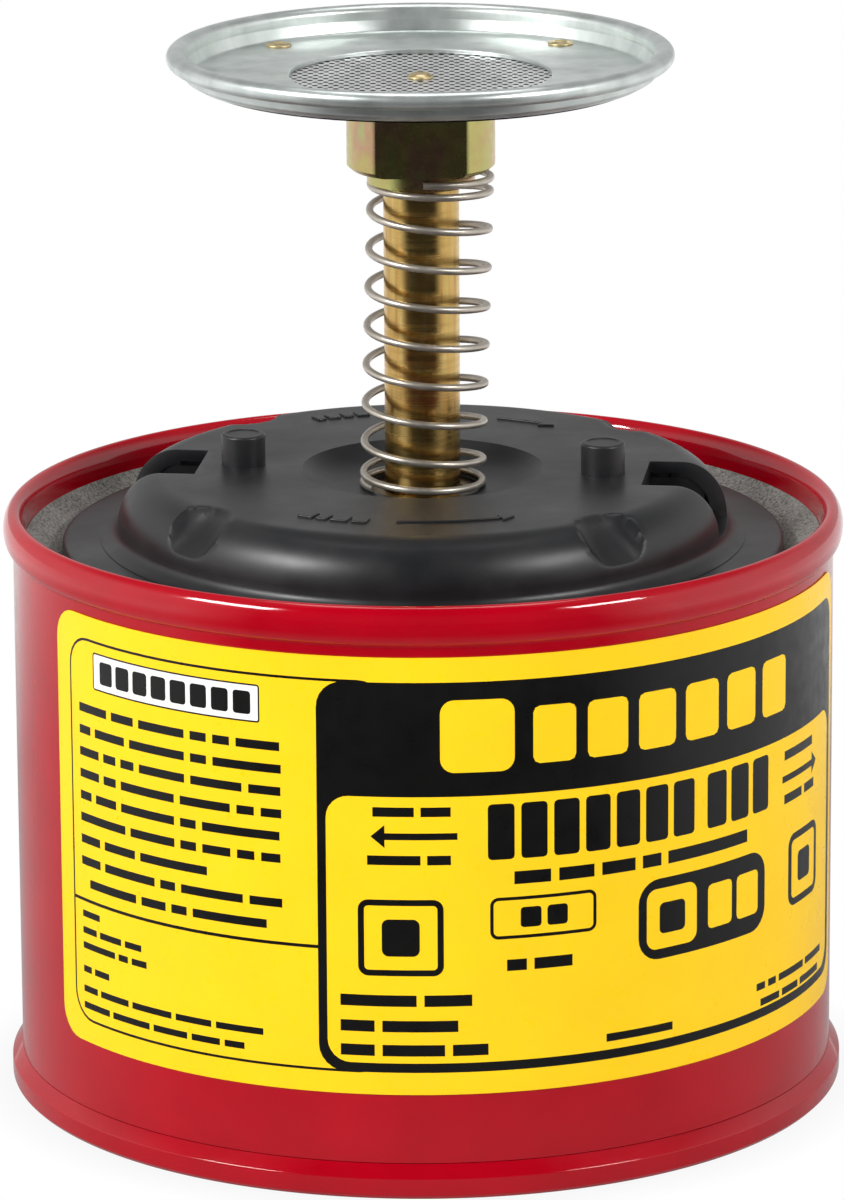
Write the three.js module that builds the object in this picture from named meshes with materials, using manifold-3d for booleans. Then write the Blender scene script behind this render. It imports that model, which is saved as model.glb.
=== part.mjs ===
// Safety plunger can, half a litre: a round steel can for flammable solvent. Pressing the pan on top
// drives a pump that lifts a little solvent through a perforated screen; the spring returns it and the
// rest drains back. The pump hangs from a lid that turns a short way to unlock and then lifts off.
//
// Millimetres, +Z up. The origin is the centre of the can's foot, and the front of the can faces -Y.

import * as THREE from 'three';
import { mergeVertices } from 'three/addons/utils/BufferGeometryUtils.js';
import Module from 'manifold-3d';

const wasm = await Module();
wasm.setup();

// Driving dimensions
const gap = 0.3; // between pieces that touch
const sheet = 0.8; // thin sheet steel
const round = 44; // facets round the large turned pieces
const fine = 24; // facets round the small ones

const canRadius = 60.6;
const canWall = 1.2;
const rim = { radius: 62.0, middle: 84.3, halfWidth: 1.6, halfHeight: 2.9 };
const foot = {
  radius: 62.15,
  height: 5.0,
  shoulder: 3.2, // where the seam starts to draw in to the wall
  edge: 0.7, // rounding at the seam's lower edge
  standInner: 60.0, // flat ring that touches the floor
  standOuter: 61.45,
  inner: 58.9,
  floor: 4.0,
};
const label = { from: -61, to: 80, bottom: 15.4, top: 79.8, thickness: 0.2 }; // degrees round from the front

const head = { edge: 81.8, shelf: 79.0, outer: 58.4, shelfRadius: 53.8 };
const neck = { inner: 28.3, outer: 30.5, top: 85.5 };
const tab = { outer: 39.5, bottom: 82.4, top: 84.0, from: 13, to: 59 }; // degrees behind the lid's lugs

const lid = {
  turn: -7, // degrees, about Z
  flangeRadius: 53.3,
  flangeTop: 82.6,
  flangeEdge: 0.6,
  bottom: 80.0,
  domeRadius: 45.0,
  top: 92.3,
  shoulder: 6.4,
  shell: 2.4,
  dishRadius: 17.6,
  seatRadius: 10.0,
  seat: 89.8,
  boreRadius: 8.3,
};
const boss = { radius: 15.5, bottom: 76.8, socket: 85.0 };
const post = { radius: 3.25, height: 4.6, reach: 26.7 };
const slot = { width: 14.0, inner: 33.0, floor: 85.4, floorThickness: 1.0, wall: 0.7 };
const lug = { inner: 34.5, width: 14.0, top: 82.0 };
const scoop = { first: 46.8, reach: 44.2, length: 8.5, width: 5.2, depth: 4.8 };
const bushing = { flange: 9.6, flangeThickness: 1.9 };

const barrel = { outer: 12.0, inner: 10.0, bottom: 13.8 };
const footValve = { bottom: 10.8, top: 23.8, port: 2.4, chamber: 4.2, seat: 14.8, pin: 22.4 };
const strainer = { bottom: 7.4, wall: 0.7, holes: 6, holeRadius: 1.6, holeCircle: 6.2 };

const rod = { radius: 5.55, bore: 3.0, bottom: 55.8, top: 149.1, port: 1.6, seat: 57.8 };
const rodHole = rod.radius + gap; // in every piece that the rod goes through
const outlet = { height: 144.7, radius: 1.6 }; // cross hole under the screen
const spring = { wire: 0.55, radius: 8.8, bottom: 89.8, top: 137.1, activeTurns: 8 };
const collar = {
  radius: 10.85,
  bottom: 137.4,
  top: 149.6,
  chamfer: 0.3,
  acrossFlats: 16.94,
  pilot: 7.9,
  pilotLength: 2.2,
  cup: 7.4,
};
const pan = {
  radius: 36.87,
  top: 155.4,
  roll: 1.3,
  wall: 34.4,
  floorRadius: 32.4,
  floorTop: 151.4,
  opening: 19.15,
};
const panSheet = 0.7;
const screen = { radius: 32.4, top: 150.4, bottom: 149.9, holePitch: 5.4, holeRadius: 1.3 };
const rivet = { angles: [47, 133.5, 227, 313.5], circle: 30.5, shank: 1.1, head: 1.9, headHeight: 0.5 };
const screw = { head: 2.6, headHeight: 1.3, shank: 1.2, reach: 2.0 };
const checkBall = 3.0; // radius of the ball in the foot valve
const rodBall = 2.2; // radius of the ball in the rod
const pin = 0.75; // radius of both cross pins

// Piston pieces, stacked upwards from the rod's lower end
const nut = { bottom: rod.bottom + 0.5, height: 4.0, acrossFlats: 14.0 };
const cup = { bottom: nut.bottom + nut.height + gap, height: 3.5, radius: 9.7 };
const piston = { bottom: cup.bottom + cup.height + gap, height: 4.0, radius: 9.4 };
const pistonPinHeight = piston.bottom + piston.height / 2;

// Materials
const finish = (color, roughness, metalness) =>
  new THREE.MeshStandardMaterial({ color, roughness, metalness });
const redPaint = finish(0xb01020, 0.25, 0.2);
const galvanised = finish(0xaab2b4, 0.4, 0.9);
const blackPlastic = finish(0x303134, 0.5, 0.0);
const yellowVinyl = finish(0xffd900, 0.4, 0.0);
const brass = finish(0xb08a4a, 0.35, 0.9);
const springSteel = finish(0x9a9088, 0.3, 0.95);
const chromate = finish(0xb0a860, 0.35, 0.85);
const rubber = finish(0x1c1c1c, 0.8, 0.0);
const stainless = finish(0xc8ccce, 0.25, 0.95);

// Solids: closed shapes that can be joined and cut

// Any closed three.js geometry as a solid, with its shared vertices merged.
function solidOf(geometry) {
  const bare = geometry.index ? geometry.clone() : mergeVertices(geometry);
  bare.deleteAttribute('normal');
  bare.deleteAttribute('uv');
  const merged = mergeVertices(bare, 1e-4);
  const corners = merged.index.array;
  const triangles = [];
  for (let i = 0; i < corners.length; i += 3) {
    const [a, b, c] = [corners[i], corners[i + 1], corners[i + 2]];
    const flat = a === b || b === c || c === a;
    if (!flat) triangles.push(a, b, c);
  }
  return new wasm.Manifold(new wasm.Mesh({
    numProp: 3,
    vertProperties: new Float32Array(merged.attributes.position.array),
    triVerts: new Uint32Array(triangles),
  }));
}

// A solid as a three.js geometry.
function geometryOf(solid) {
  const mesh = solid.getMesh();
  const geometry = new THREE.BufferGeometry();
  geometry.setAttribute('position', new THREE.BufferAttribute(mesh.vertProperties, 3));
  geometry.setIndex(new THREE.BufferAttribute(mesh.triVerts, 1));
  geometry.computeVertexNormals();
  return geometry;
}

// Points of a profile, in radius and height, going round its area anticlockwise.
function anticlockwise(points) {
  let area = 0;
  points.forEach((p, i) => {
    const q = points[(i + 1) % points.length];
    area += p.x * q.y - q.x * p.y;
  });
  return area > 0 ? points : [...points].reverse();
}

// A profile turned about Z. A profile that is clear of the axis is closed on itself.
function turned(profile, facets = round) {
  const points = anticlockwise(profile);
  const onAxis = points.some((p) => p.x === 0);
  if (onAxis) {
    while (points[0].x !== 0 || points[points.length - 1].x !== 0) points.push(points.shift());
  } else {
    points.push(points[0].clone());
  }
  return solidOf(new THREE.LatheGeometry(points, facets).rotateX(Math.PI / 2));
}

const joinAll = (solid, pieces) => pieces.reduce((whole, piece) => whole.add(piece), solid);
const cutAll = (solid, pieces) => pieces.reduce((whole, piece) => whole.subtract(piece), solid);
const at = (radius, height) => new THREE.Vector2(radius, height);

// Points on part of an ellipse, from one angle to another in degrees.
function arc(centre, halfWidth, halfHeight, from, to, steps = 6) {
  return Array.from({ length: steps + 1 }, (_, i) => {
    const angle = THREE.MathUtils.degToRad(from + ((to - from) * i) / steps);
    return at(centre.x + halfWidth * Math.cos(angle), centre.y + halfHeight * Math.sin(angle));
  });
}

// A tube with square ends.
function tube(outer, inner, bottom, top, facets = fine) {
  return turned([at(inner, bottom), at(outer, bottom), at(outer, top), at(inner, top)], facets);
}

// A plain rod along Z.
function cylinder(radius, bottom, top, facets = fine) {
  return turned([at(0, bottom), at(radius, bottom), at(radius, top), at(0, top)], facets);
}

// A plain rod along X, centred on the axis at a height.
function crossRod(radius, length, height) {
  const geometry = new THREE.CylinderGeometry(radius, radius, length, 12);
  return solidOf(geometry.rotateZ(Math.PI / 2).translate(0, 0, height));
}

function block(width, depth, height, x, y, z) {
  return solidOf(new THREE.BoxGeometry(width, depth, height).translate(x, y, z));
}

function ball(radius, height) {
  return solidOf(new THREE.SphereGeometry(radius, 16, 10).translate(0, 0, height));
}

// A sector of a ring, between two angles in degrees from +X.
function ringSector(outer, inner, from, to, bottom, top, steps) {
  const start = THREE.MathUtils.degToRad(from);
  const end = THREE.MathUtils.degToRad(to);
  const shape = new THREE.Shape();
  shape.absarc(0, 0, outer, start, end, false);
  shape.absarc(0, 0, inner, end, start, true);
  const geometry = new THREE.ExtrudeGeometry(shape, {
    depth: top - bottom,
    bevelEnabled: false,
    curveSegments: steps,
  });
  return solidOf(geometry.translate(0, 0, bottom));
}

// The can

// Rolled wall with the bead that hides the seam to the head.
function canShell() {
  const inner = canRadius - canWall;
  const centre = at(rim.radius - rim.halfWidth, rim.middle);
  return turned([
    at(inner, foot.height + gap),
    at(canRadius, foot.height + gap),
    at(canRadius, rim.middle - rim.halfHeight),
    ...arc(centre, rim.halfWidth, rim.halfHeight, -60, 180, 10),
    at(inner, rim.middle - rim.halfHeight),
  ]);
}

// Pressed bottom, raised off the floor inside the double seam that the can stands on.
function canBottom() {
  const lowerEdge = arc(at(foot.standOuter, foot.edge), foot.radius - foot.standOuter, foot.edge, -60, 0, 3);
  return turned([
    at(0, foot.floor - sheet),
    at(foot.inner, foot.floor - sheet),
    at(foot.inner, foot.edge),
    at(foot.standInner, 0),
    at(foot.standOuter, 0),
    ...lowerEdge,
    at(foot.radius, foot.shoulder),
    at(canRadius, foot.height),
    at(foot.inner, foot.height),
    at(foot.inner, foot.floor),
    at(0, foot.floor),
  ]);
}

// Galvanised head: a dished shelf with the filling neck, and the tabs that hold the lid's lugs down.
function canHead() {
  const plate = turned([
    at(neck.inner, head.shelf - sheet),
    at(head.shelfRadius, head.shelf - sheet),
    at(head.outer, head.edge - sheet),
    at(head.outer, head.edge),
    at(head.shelfRadius, head.shelf),
    at(neck.outer, head.shelf),
    at(neck.outer, neck.top),
    at(neck.inner, neck.top),
  ]);
  const tabs = [0, 180].map((side) => {
    const lugAngle = lid.turn + side;
    const inner = (neck.inner + neck.outer) / 2;
    return ringSector(tab.outer, inner, lugAngle - tab.to, lugAngle - tab.from, tab.bottom, tab.top, 6);
  });
  return joinAll(plate, tabs);
}

// Printed sheet stuck to the front of the can. It runs further round to the right.
function labelSheet() {
  const inner = canRadius + gap;
  const front = -90;
  const [from, to] = [front + label.from, front + label.to];
  return ringSector(inner + label.thickness, inner, from, to, label.bottom, label.top, 22);
}

// The lid

// Outside of the lid: flange, dome and the dish that the spring stands in, with the boss below.
function lidOutside(shoulderCentre) {
  return turned([
    at(lid.boreRadius, lid.seat),
    at(lid.seatRadius, lid.seat),
    at(lid.dishRadius, lid.top),
    ...arc(shoulderCentre, lid.shoulder, lid.shoulder, 90, 0, 5),
    at(lid.domeRadius, lid.flangeTop),
    at(lid.flangeRadius - lid.flangeEdge, lid.flangeTop),
    at(lid.flangeRadius, lid.flangeTop - lid.flangeEdge),
    at(lid.flangeRadius, lid.bottom),
    at(boss.radius, lid.bottom),
    at(boss.radius, boss.bottom),
    at(barrel.outer + gap, boss.bottom),
    at(barrel.outer + gap, boss.socket),
    at(lid.boreRadius, boss.socket),
  ]);
}

// Space under the dome, round the boss.
function lidCavity(shoulderCentre) {
  const ceiling = lid.top - lid.shell;
  const innerShoulder = lid.shoulder - lid.shell;
  return turned([
    at(boss.radius, lid.bottom - 1),
    at(lid.domeRadius - lid.shell, lid.bottom - 1),
    ...arc(shoulderCentre, innerShoulder, innerShoulder, 0, 90, 4),
    at(boss.radius, ceiling),
  ]);
}

// The four thumb scoops in the shoulder, or their shape grown by the shell's thickness.
function scoops(grown) {
  return [0, 90, 180, 270].map((quarter) => {
    const hollow = new THREE.SphereGeometry(1, 10, 6);
    hollow.scale(scoop.length + grown, scoop.width + grown, scoop.depth + grown);
    hollow.translate(scoop.reach, 0, lid.top).rotateZ(THREE.MathUtils.degToRad(scoop.first + quarter));
    return solidOf(hollow);
  });
}

// A block from a slot's inner end outwards, grown sideways and inwards, between two heights.
function slotBlock(side, grown, bottom, top) {
  const inner = slot.inner - grown;
  const length = lid.domeRadius + 1.5 - inner;
  const middle = side * (inner + length / 2);
  return block(length, slot.width + 2 * grown, top - bottom, middle, 0, (bottom + top) / 2);
}

// Dome with two posts, two slots that end in closed pockets, and the lugs inside its edge.
function lidCover() {
  const shoulderCentre = at(lid.domeRadius - lid.shoulder, lid.top - lid.shoulder);
  const innerRadius = lid.domeRadius - lid.shell;
  const sides = [1, -1];
  const posts = sides.map((side) => {
    const pillar = cylinder(post.radius, lid.top - 1, lid.top + post.height, 20);
    return pillar.translate([side * post.reach, 0, 0]);
  });
  const slots = sides.map((side) => slotBlock(side, 0, slot.floor, lid.top + 1));
  const lugLength = innerRadius + 1 - lug.inner;
  const lugs = sides.map((side) => {
    const middle = side * (lug.inner + lugLength / 2);
    return block(lugLength, lug.width, lug.top - lid.bottom, middle, 0, (lug.top + lid.bottom) / 2);
  });
  const outside = cutAll(lidOutside(shoulderCentre), scoops(0));
  const cavity = cutAll(lidCavity(shoulderCentre), scoops(lid.shell));
  const pocketBottom = slot.floor - slot.floorThickness;
  const pockets = sides.map((side) => {
    return outside.intersect(slotBlock(side, slot.wall, pocketBottom, lid.top));
  });
  const shell = joinAll(outside.subtract(cavity), pockets);
  return joinAll(cutAll(shell, slots), [...posts, ...lugs]);
}

// Flat ring between the neck and the lid.
const lidGasket = () => tube(32.0, 28.0, neck.top + gap, lid.top - lid.shell - gap, round);

// Flanged bush that guides the rod through the lid.
function rodBushing() {
  const flangeTop = boss.socket - gap;
  const flangeBottom = flangeTop - bushing.flangeThickness;
  return turned([
    at(rodHole, flangeBottom),
    at(bushing.flange, flangeBottom),
    at(bushing.flange, flangeTop),
    at(lid.boreRadius - gap, flangeTop),
    at(lid.boreRadius - gap, lid.seat - gap),
    at(rodHole, lid.seat - gap),
  ], fine);
}

// The pump below the lid

const pumpBarrel = () => tube(barrel.outer, barrel.inner, barrel.bottom, boss.socket - gap);

// Foot valve: a seat for the check ball, with a cross hole for the pin that keeps the ball in.
function footValveBody() {
  const plug = turned([
    at(footValve.port, footValve.bottom),
    at(barrel.outer, footValve.bottom),
    at(barrel.outer, barrel.bottom - gap),
    at(barrel.inner - gap, barrel.bottom - gap),
    at(barrel.inner - gap, footValve.top),
    at(footValve.chamber, footValve.top),
    at(footValve.chamber, footValve.seat + 1.5),
    at(footValve.port, footValve.seat),
  ], fine);
  return plug.subtract(crossRod(pin + gap, 2 * barrel.outer, footValve.pin));
}

// Where a ball's centre is when it rests on the edge of a round seat.
const seatedHeight = (radius, port, seat) => seat + Math.sqrt(radius ** 2 - port ** 2) + gap;

const footValveBall = () => ball(checkBall, seatedHeight(checkBall, footValve.port, footValve.seat));
const valveStopPin = () => crossRod(pin, 2 * (barrel.inner - 2 * gap), footValve.pin);

// Perforated cap over the inlet.
function inletStrainer() {
  const radius = barrel.outer - 0.4;
  const inner = radius - strainer.wall;
  const cap = turned([
    at(0, strainer.bottom),
    at(radius, strainer.bottom),
    at(radius, footValve.bottom - gap),
    at(inner, footValve.bottom - gap),
    at(inner, strainer.bottom + strainer.wall),
    at(0, strainer.bottom + strainer.wall),
  ], fine);
  const holes = [];
  for (let i = 0; i < strainer.holes; i += 1) {
    const angle = (i * 2 * Math.PI) / strainer.holes;
    const place = [strainer.holeCircle * Math.cos(angle), strainer.holeCircle * Math.sin(angle), 0];
    holes.push(cylinder(strainer.holeRadius, strainer.bottom - 1, strainer.bottom + 2, 8).translate(place));
  }
  return cutAll(cap, holes);
}

// Left-hand wound wire with a closed turn at each end.
class SpringPath extends THREE.Curve {
  constructor() {
    super();
    this.turns = spring.activeTurns + 2;
  }

  getPoint(t) {
    const turn = t * this.turns;
    const closed = 2.2 * spring.wire; // rise over a closed turn
    const low = spring.bottom + spring.wire;
    const high = spring.top - spring.wire;
    const rise = (high - low - 2 * closed) / spring.activeTurns;
    const active = Math.min(Math.max(turn - 1, 0), spring.activeTurns);
    const ends = Math.min(turn, 1) + Math.max(turn - 1 - spring.activeTurns, 0);
    const angle = -2 * Math.PI * turn;
    const height = low + ends * closed + active * rise;
    return new THREE.Vector3(spring.radius * Math.cos(angle), spring.radius * Math.sin(angle), height);
  }
}

function returnSpring() {
  const path = new SpringPath();
  const section = new THREE.Shape();
  section.absarc(0, 0, spring.wire, 0, 2 * Math.PI, false);
  return solidOf(new THREE.ExtrudeGeometry(section, {
    steps: path.turns * 14,
    curveSegments: 3,
    extrudePath: path,
    bevelEnabled: false,
  }));
}

// The plunger

// Brass tube, drilled up the middle, with an outlet near the top and a threaded end for the screw.
function plungerRod() {
  const threadBottom = rod.top - 2.4;
  const threadRadius = screw.shank + gap;
  const stem = turned([
    at(rod.port, rod.bottom),
    at(rod.radius - 0.5, rod.bottom),
    at(rod.radius, rod.bottom + 0.5),
    at(rod.radius, rod.top),
    at(threadRadius, rod.top),
    at(threadRadius, threadBottom),
    at(rod.bore, threadBottom),
    at(rod.bore, rod.seat + 1.4),
    at(rod.port, rod.seat),
  ], fine);
  const ports = crossRod(outlet.radius, 3 * rod.radius, outlet.height);
  const pinHole = crossRod(pin + gap, 3 * rod.radius, pistonPinHeight);
  return cutAll(stem, [ports, pinHole]);
}

const rodCheckBall = () => ball(rodBall, seatedHeight(rodBall, rod.port, rod.seat));

function pistonNut() {
  const corner = nut.acrossFlats / Math.sqrt(3);
  const hexagon = cylinder(corner, nut.bottom, nut.bottom + nut.height, 6);
  return hexagon.subtract(cylinder(rodHole, nut.bottom - 1, nut.bottom + nut.height + 1));
}

// Seal whose edge wipes the barrel.
function pistonCup() {
  const top = cup.bottom + cup.height;
  return turned([
    at(rodHole, cup.bottom),
    at(cup.radius - 0.7, cup.bottom),
    at(cup.radius, cup.bottom + 0.8),
    at(cup.radius, top),
    at(rodHole, top),
  ], fine);
}

function pistonDisc() {
  const disc = tube(piston.radius, rodHole, piston.bottom, piston.bottom + piston.height);
  return disc.subtract(crossRod(pin + gap, 3 * piston.radius, pistonPinHeight));
}

const pistonPin = () => crossRod(pin, 2 * piston.radius - 1, pistonPinHeight);

// Threaded collar under the pan, with two wrench flats and a pilot that centres the spring.
function rodCollar() {
  const cupFloor = outlet.height - outlet.radius - gap;
  const turnedCollar = turned([
    at(rodHole, collar.bottom - collar.pilotLength),
    at(collar.pilot, collar.bottom - collar.pilotLength),
    at(collar.pilot, collar.bottom),
    at(collar.radius - collar.chamfer, collar.bottom),
    at(collar.radius, collar.bottom + collar.chamfer),
    at(collar.radius, collar.top),
    at(collar.cup, collar.top),
    at(collar.cup, cupFloor),
    at(rodHole, cupFloor),
  ], fine);
  const width = 3 * collar.radius;
  const height = 1.2 * (collar.top - collar.bottom);
  const flats = [1, -1].map((side) => {
    const y = (side * (collar.acrossFlats + collar.radius)) / 2;
    return block(width, collar.radius, height, 0, y, (collar.bottom + collar.top) / 2);
  });
  return cutAll(turnedCollar, flats);
}

// Rivet places, in the pan and in the screen below it.
const rivetPlaces = rivet.angles.map((angle) => {
  const turn = THREE.MathUtils.degToRad(angle);
  return [rivet.circle * Math.cos(turn), rivet.circle * Math.sin(turn), 0];
});

function rivetHoles(bottom, top) {
  return rivetPlaces.map((place) => cylinder(rivet.shank + gap, bottom, top, 10).translate(place));
}

// Shallow pan with a rolled edge and a round opening over the screen.
function dasherPan() {
  const under = pan.floorTop - panSheet;
  const corner = panSheet / 2; // set-off of the bend between floor and wall
  const rollCentre = at(pan.radius - pan.roll, pan.top - pan.roll);
  const pressing = turned([
    at(pan.opening, under),
    at(pan.floorRadius + corner, under),
    at(pan.wall - corner, pan.floorTop),
    at(pan.wall, rollCentre.y - pan.roll / 2),
    ...arc(rollCentre, pan.roll, pan.roll, -90, 150, 8),
    at(pan.wall - panSheet, rollCentre.y - pan.roll / 2),
    at(pan.floorRadius, pan.floorTop),
    at(pan.opening, pan.floorTop),
  ]);
  return cutAll(pressing, rivetHoles(under - 1, pan.floorTop + 1));
}

// Flame-arresting screen: a perforated disc riveted under the pan's floor.
function panScreen() {
  const disc = tube(screen.radius, screw.shank + gap, screen.bottom, screen.top, round);
  const rowHeight = (screen.holePitch * Math.sqrt(3)) / 2;
  const holes = [];
  for (let row = -4; row <= 4; row += 1) {
    for (let column = -4; column <= 4; column += 1) {
      const x = (column + (row % 2 ? 0.5 : 0)) * screen.holePitch;
      const y = row * rowHeight;
      const reach = Math.hypot(x, y);
      const clearOfScrew = reach > screw.head + screen.holeRadius;
      const insideOpening = reach < pan.opening - screen.holeRadius - 0.5;
      if (clearOfScrew && insideOpening) {
        const hole = cylinder(screen.holeRadius, screen.bottom - 1, screen.top + 1, 6);
        holes.push(hole.translate([x, y, 0]));
      }
    }
  }
  return cutAll(disc, [...holes, ...rivetHoles(screen.bottom - 1, screen.top + 1)]);
}

function screenScrew() {
  const under = screen.top + gap;
  return turned([
    at(0, rod.top - screw.reach),
    at(screw.shank, rod.top - screw.reach),
    at(screw.shank, under),
    at(screw.head, under),
    at(screw.head, under + screw.headHeight / 2),
    at(screw.head / 2, under + screw.headHeight),
    at(0, under + screw.headHeight),
  ], 20);
}

// Rivet with a low domed head above the pan's floor, set flush with the screen's underside.
function panRivet() {
  const high = pan.floorTop + gap;
  return turned([
    at(0, screen.bottom),
    at(rivet.shank, screen.bottom),
    at(rivet.shank, high),
    at(rivet.head, high),
    at(rivet.head / 2, high + rivet.headHeight),
    at(0, high + rivet.headHeight),
  ], 12);
}

// The assembly

const can = new THREE.Group();
const lidGroup = new THREE.Group();
const plunger = new THREE.Group();
lidGroup.rotation.z = THREE.MathUtils.degToRad(lid.turn);
can.add(lidGroup, plunger);

function add(group, name, solid, material) {
  const mesh = new THREE.Mesh(geometryOf(solid), material);
  mesh.name = name;
  group.add(mesh);
  return mesh;
}

add(can, 'can_shell', canShell(), redPaint);
add(can, 'can_bottom', canBottom(), redPaint);
add(can, 'can_head', canHead(), galvanised);
add(can, 'label_sheet', labelSheet(), yellowVinyl);

add(lidGroup, 'lid_gasket', lidGasket(), rubber);
add(lidGroup, 'lid_cover', lidCover(), blackPlastic);
add(lidGroup, 'rod_bushing', rodBushing(), brass);
add(lidGroup, 'pump_barrel', pumpBarrel(), brass);
add(lidGroup, 'foot_valve_body', footValveBody(), brass);
add(lidGroup, 'foot_valve_ball', footValveBall(), stainless);
add(lidGroup, 'valve_stop_pin', valveStopPin(), stainless);
add(lidGroup, 'inlet_strainer', inletStrainer(), stainless);
add(lidGroup, 'return_spring', returnSpring(), springSteel);

add(plunger, 'plunger_rod', plungerRod(), brass);
add(plunger, 'rod_check_ball', rodCheckBall(), stainless);
add(plunger, 'piston_nut', pistonNut(), brass);
add(plunger, 'piston_cup', pistonCup(), rubber);
add(plunger, 'piston_disc', pistonDisc(), brass);
add(plunger, 'piston_pin', pistonPin(), stainless);
add(plunger, 'rod_collar', rodCollar(), chromate);
add(plunger, 'pan_screen', panScreen(), galvanised);
add(plunger, 'dasher_pan', dasherPan(), galvanised);
add(plunger, 'screen_screw', screenScrew(), brass);
rivetPlaces.forEach(([x, y], i) => {
  const mesh = add(plunger, `pan_rivet_${i + 1}`, panRivet(), brass);
  mesh.position.set(x, y, 0);
});

export default can;
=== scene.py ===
"""Safety plunger can: fine surfaces, materials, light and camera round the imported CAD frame.

Lengths are in millimetres until a mesh is made, and the front of the can faces -Y.
"""

import math
import random

import bpy
import numpy as np
from mathutils import Matrix, Quaternion, Vector
from mathutils.geometry import delaunay_2d_cdt


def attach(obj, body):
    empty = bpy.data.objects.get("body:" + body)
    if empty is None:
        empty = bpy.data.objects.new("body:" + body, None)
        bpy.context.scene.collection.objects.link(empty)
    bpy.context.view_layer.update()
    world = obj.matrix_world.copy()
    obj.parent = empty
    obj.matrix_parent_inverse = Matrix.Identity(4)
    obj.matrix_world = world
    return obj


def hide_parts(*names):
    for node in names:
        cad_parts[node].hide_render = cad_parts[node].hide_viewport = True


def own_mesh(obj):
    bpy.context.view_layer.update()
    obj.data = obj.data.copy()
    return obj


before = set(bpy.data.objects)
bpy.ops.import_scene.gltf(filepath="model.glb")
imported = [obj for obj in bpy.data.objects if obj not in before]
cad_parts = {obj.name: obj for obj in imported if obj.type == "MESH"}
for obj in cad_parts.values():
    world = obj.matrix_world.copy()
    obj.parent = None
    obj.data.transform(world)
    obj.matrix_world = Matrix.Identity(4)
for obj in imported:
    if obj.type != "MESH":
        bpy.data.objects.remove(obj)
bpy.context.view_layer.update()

MM = 0.001
SHARP = math.radians(32)

# Sizes that several pieces share. A radius is from the can's axis and a height from the floor.
CAN_RADIUS = 60.6
SHEET = 0.8
BARREL_RADIUS, BARREL_TOP = 12.0, 84.7
ROD_HOLE = 5.85
PAN_UNDER, PAN_FLOOR = 150.7, 151.4
LID_TURN = math.radians(-7)


# Meshes -------------------------------------------------------------------------------------------


def merged(*parts):
    """Several (points, faces) pairs as one."""
    points, faces = [], []
    for part_points, part_faces in parts:
        start = len(points)
        points += [tuple(p) for p in part_points]
        faces += [[start + i for i in face] for face in part_faces]
    return points, faces


def moved(part, matrix):
    """A (points, faces) pair through a matrix."""
    points, faces = part
    return [tuple(matrix @ Vector(p)) for p in points], faces


def piece(name, part, body, material, replaces, sharp=SHARP):
    """A mesh object made from points in millimetres. It rides on a body and replaces CAD nodes."""
    points, faces = part
    mesh = bpy.data.meshes.new(name)
    mesh.from_pydata([tuple(MM * c for c in p) for p in points], [], faces)
    mesh.validate()
    mesh.shade_smooth()
    mesh.set_sharp_from_angle(angle=sharp)
    obj = bpy.data.objects.new(name, mesh)
    bpy.context.scene.collection.objects.link(obj)
    materials = material if isinstance(material, list) else [material]
    for each in materials:
        mesh.materials.append(each)
    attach(obj, body)
    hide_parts(*replaces)
    return obj


def crisp_border(obj):
    """Marks the border of an open mesh as sharp, so that a thickness added to it gets crisp sides."""
    mesh = obj.data
    used = np.zeros(len(mesh.loops), np.int32)
    mesh.loops.foreach_get("edge_index", used)
    for edge, uses in zip(mesh.edges, np.bincount(used, minlength=len(mesh.edges))):
        edge.use_edge_sharp = edge.use_edge_sharp or uses == 1


def thicken(obj, thickness):
    """Gives an open mesh a thickness in millimetres, inwards from the side that faces out."""
    modifier = obj.modifiers.new("thickness", "SOLIDIFY")
    modifier.thickness = thickness * MM
    modifier.offset = -1.0
    return modifier


def soften(obj, width):
    """Bevels the edges that bend by more than 50 degrees, by a width in millimetres."""
    modifier = obj.modifiers.new("edges", "BEVEL")
    modifier.width = width * MM
    modifier.segments = 2
    modifier.limit_method = "ANGLE"
    modifier.angle_limit = math.radians(50)


def rounded(corners, steps=5):
    """A closed outline whose corners that name a third number are rounded to that radius."""
    points = []
    for i, corner in enumerate(corners):
        here = np.array(corner[:2], float)
        if len(corner) < 3:
            points.append(tuple(here))
            continue
        back = np.array(corners[i - 1][:2], float) - here
        on = np.array(corners[(i + 1) % len(corners)][:2], float) - here
        back_length, on_length = np.linalg.norm(back), np.linalg.norm(on)
        back, on = back / back_length, on / on_length
        half = math.acos(max(-1.0, min(1.0, float(back @ on)))) / 2
        reach = min(corner[2] / math.tan(half), 0.49 * back_length, 0.49 * on_length)
        weight = math.sin(half)
        for step in range(steps + 1):
            t = step / steps
            a, b, c = (1 - t) ** 2, 2 * t * (1 - t) * weight, t**2
            point = (a * (here + back * reach) + b * here + c * (here + on * reach)) / (a + b + c)
            points.append(tuple(point))
    return points


def ellipse_arc(centre, half_width, half_height, start, end, steps):
    """Points on an ellipse between two angles in degrees."""
    angles = np.radians(np.linspace(start, end, steps + 1))
    return [
        (centre[0] + half_width * math.cos(a), centre[1] + half_height * math.sin(a))
        for a in angles
    ]


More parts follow.
